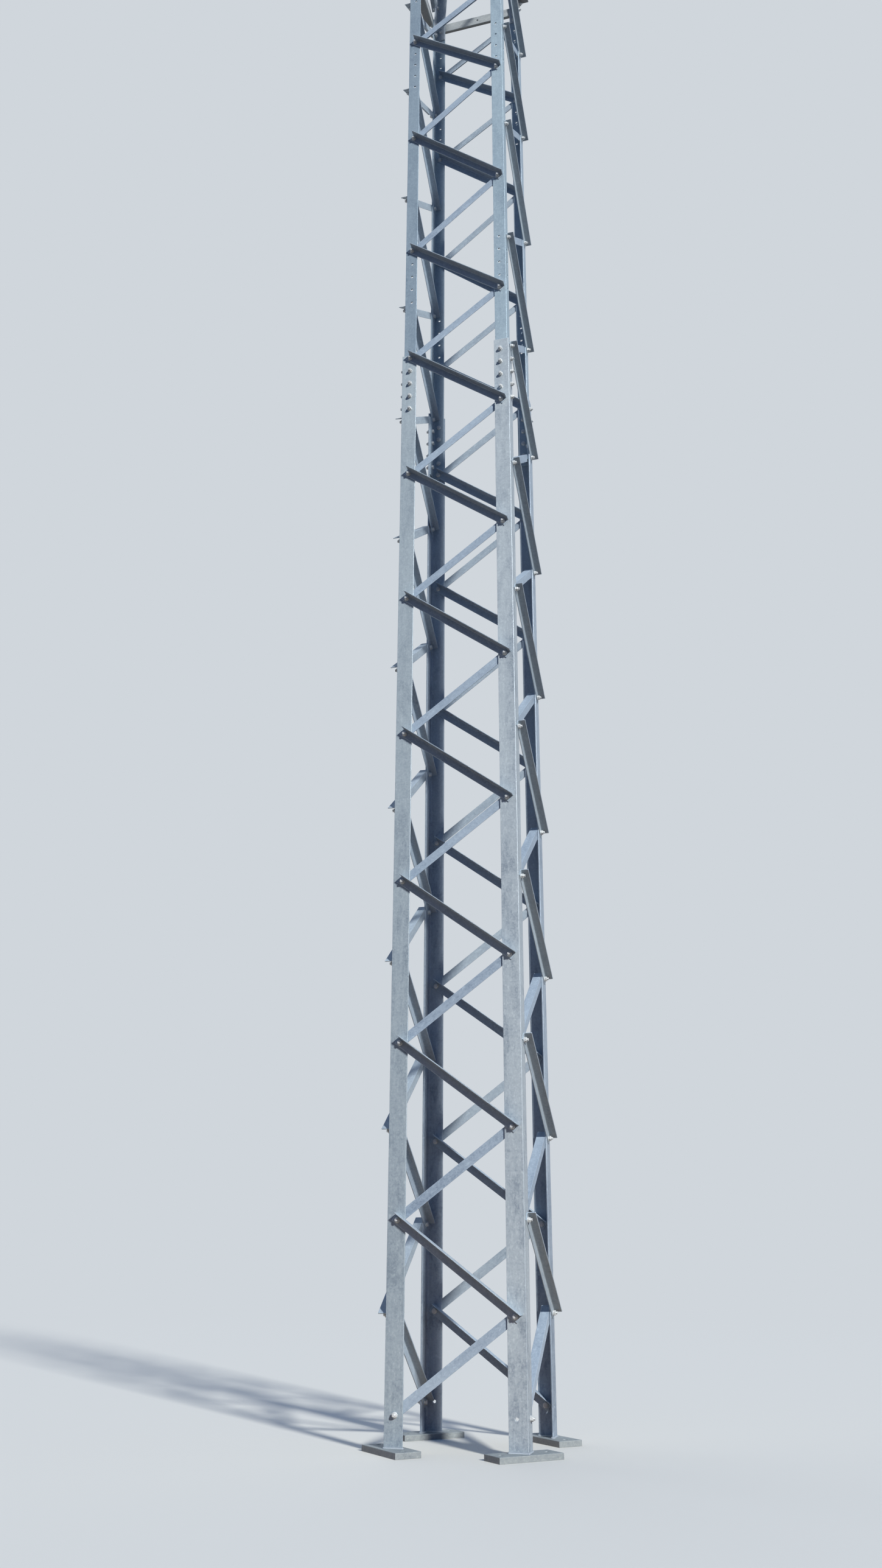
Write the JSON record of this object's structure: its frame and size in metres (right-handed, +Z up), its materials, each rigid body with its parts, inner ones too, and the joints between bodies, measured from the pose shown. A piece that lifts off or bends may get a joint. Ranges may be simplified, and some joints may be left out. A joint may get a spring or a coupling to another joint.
{
  "type": "lattice transmission pylon",
  "caption": "Tall square lattice column of galvanised steel angles with zigzag lacing, spliced legs, a ring frame, a tapered peak and four bolted foot plates.",
  "frame": {"origin": "middle of the underside of the front left foot plate", "axes": "+Z up along the shaft, +X from the front left to the front right foot, +Y from front to back"},
  "size_m": [1.27, 1.27, 16.5947],
  "materials": {
    "foot_steel": "hot-dip galvanised plate, dull grey",
    "leg_steel": "hot-dip galvanised, dull grey with spangle and streaks",
    "lacing_steel": "hot-dip galvanised, dull grey",
    "ring_steel": "hot-dip galvanised, dull grey",
    "peak_steel": "hot-dip galvanised, light grey"
  },
  "bodies": {
    "root": {"foot_plate_front_left": "foot_steel", "foot_plate_front_right": "foot_steel", "foot_plate_back_right": "foot_steel", "foot_plate_back_left": "foot_steel", "lower_leg_front_left": "leg_steel", "lower_leg_front_right": "leg_steel", "lower_leg_back_right": "leg_steel", "lower_leg_back_left": "leg_steel", "upper_leg_front_left": "leg_steel", "upper_leg_front_right": "leg_steel", "upper_leg_back_right": "leg_steel", "upper_leg_back_left": "leg_steel", "peak_leg_front_left": "leg_steel", "peak_leg_front_right": "leg_steel", "peak_leg_back_right": "leg_steel", "peak_leg_back_left": "leg_steel", "lower_outer_lacing_front": "lacing_steel", "lower_outer_lacing_right": "lacing_steel", "lower_outer_lacing_back": "lacing_steel", "lower_outer_lacing_left": "lacing_steel", "lower_inner_lacing_front": "lacing_steel", "lower_inner_lacing_right": "lacing_steel", "lower_inner_lacing_back": "lacing_steel", "lower_inner_lacing_left": "lacing_steel", "upper_outer_lacing_front": "lacing_steel", "upper_outer_lacing_right": "lacing_steel", "upper_outer_lacing_back": "lacing_steel", "upper_outer_lacing_left": "lacing_steel", "upper_inner_lacing_front": "lacing_steel", "upper_inner_lacing_right": "lacing_steel", "upper_inner_lacing_back": "lacing_steel", "upper_inner_lacing_left": "lacing_steel", "ring_angle_front": "ring_steel", "ring_angle_right": "ring_steel", "ring_angle_back": "ring_steel", "ring_angle_left": "ring_steel", "peak_bracing_front": "peak_steel", "peak_bracing_right": "peak_steel", "peak_bracing_back": "peak_steel", "peak_bracing_left": "peak_steel", "cap_plates": "peak_steel"}
  },
  "joints": []
}
